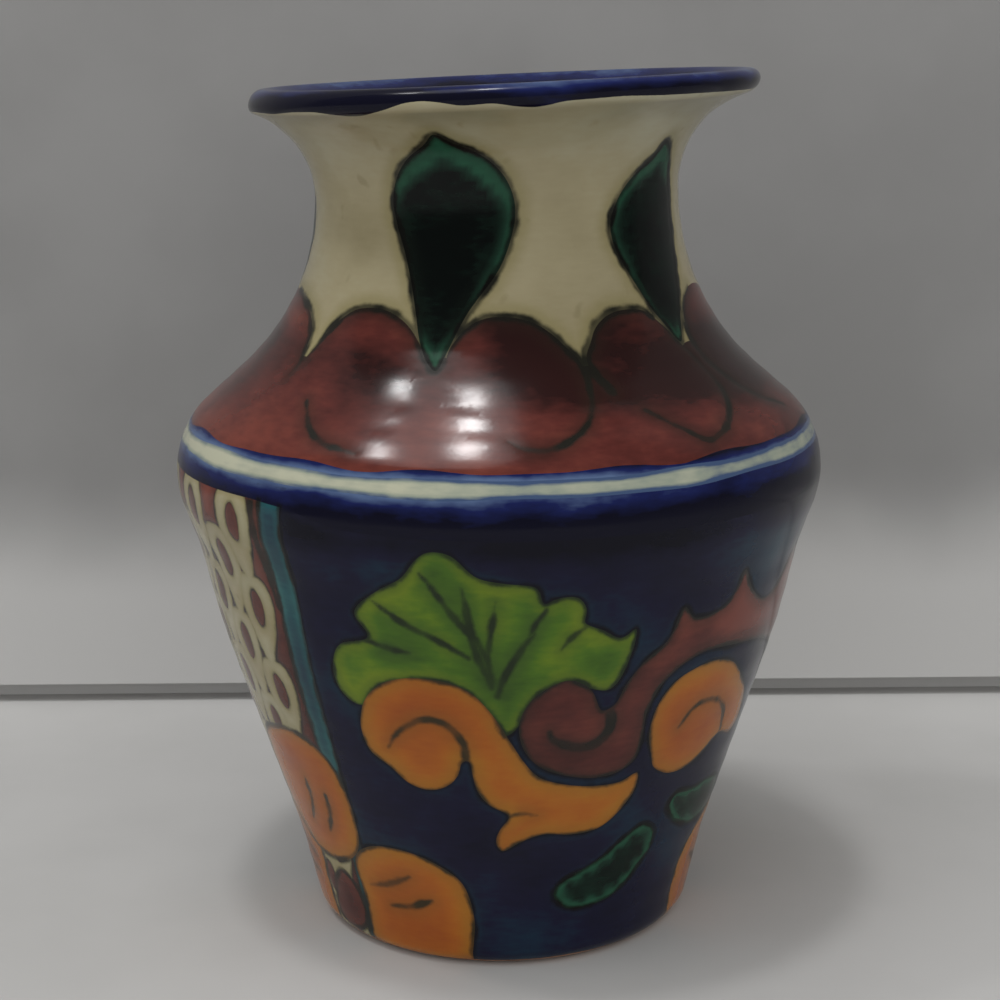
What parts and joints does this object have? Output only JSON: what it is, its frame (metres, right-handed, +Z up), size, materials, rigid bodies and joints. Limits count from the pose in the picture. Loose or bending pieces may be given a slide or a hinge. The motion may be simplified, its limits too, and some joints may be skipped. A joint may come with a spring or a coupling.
{
  "type": "flower vase",
  "caption": "Hand-painted tin-glazed earthenware flower vase: tapered body, narrow throat, flared open mouth, painted leaves, petals and scrolls.",
  "frame": {"origin": "middle of the foot, on the surface that the vase stands on", "axes": "+Z up along the pot's axis; the front, with the fan leaf and the scrolls, faces -Y; +X is to the right of someone who looks at the front"},
  "size_m": [0.1148, 0.1148, 0.1513],
  "materials": {
    "bare_clay": "unglazed buff earthenware, matt",
    "cream_glaze": "opaque cream tin glaze, glossy",
    "cobalt_glaze": "brushed cobalt blue under a clear gloss",
    "navy_glaze": "dark navy blue, glossy, uneven",
    "maroon_glaze": "maroon brown, glossy",
    "brick_glaze": "brick red brushed thin, glossy",
    "orange_glaze": "amber orange, glossy, darker where it pools",
    "leaf_green_glaze": "yellow green with darker green strokes, glossy",
    "deep_green_glaze": "deep bottle green, glossy",
    "turquoise_glaze": "turquoise, glossy"
  },
  "bodies": {
    "root": {"blue_belt": "cobalt_glaze", "clay_body": "bare_clay", "cream_line": "cream_glaze", "fan_leaf_back": "leaf_green_glaze", "fan_leaf_front": "leaf_green_glaze", "flower_1_centre": "maroon_glaze", "flower_1_petal_left": "orange_glaze", "flower_1_petal_right": "orange_glaze", "flower_1_petal_top": "orange_glaze", "flower_2_centre": "maroon_glaze", "flower_2_petal_left": "orange_glaze", "flower_2_petal_right": "orange_glaze", "flower_2_petal_top": "orange_glaze", "lining_glaze": "cream_glaze", "long_leaf_back": "deep_green_glaze", "long_leaf_front": "deep_green_glaze", "maroon_scroll_back": "maroon_glaze", "maroon_scroll_front": "maroon_glaze", "navy_ground_back": "navy_glaze", "navy_ground_front": "navy_glaze", "neck_ground": "cream_glaze", "neck_leaf_1": "deep_green_glaze", "neck_leaf_2": "deep_green_glaze", "neck_leaf_3": "deep_green_glaze", "neck_leaf_4": "deep_green_glaze", "neck_leaf_5": "deep_green_glaze", "orange_scroll_back": "orange_glaze", "orange_scroll_front": "orange_glaze", "rim_band": "cobalt_glaze", "scale_panel_1": "cream_glaze", "scale_panel_2": "cream_glaze", "short_leaf_back": "deep_green_glaze", "short_leaf_front": "deep_green_glaze", "shoulder_collar": "brick_glaze", "shoulder_petal_1": "maroon_glaze", "shoulder_petal_10": "maroon_glaze", "shoulder_petal_2": "maroon_glaze", "shoulder_petal_3": "maroon_glaze", "shoulder_petal_4": "maroon_glaze", "shoulder_petal_5": "maroon_glaze", "shoulder_petal_6": "maroon_glaze", "shoulder_petal_7": "maroon_glaze", "shoulder_petal_8": "maroon_glaze", "shoulder_petal_9": "maroon_glaze", "small_scroll_back": "orange_glaze", "small_scroll_front": "orange_glaze", "turquoise_stripe_1": "turquoise_glaze", "turquoise_stripe_2": "turquoise_glaze", "turquoise_stripe_3": "turquoise_glaze", "turquoise_stripe_4": "turquoise_glaze"}
  },
  "joints": []
}
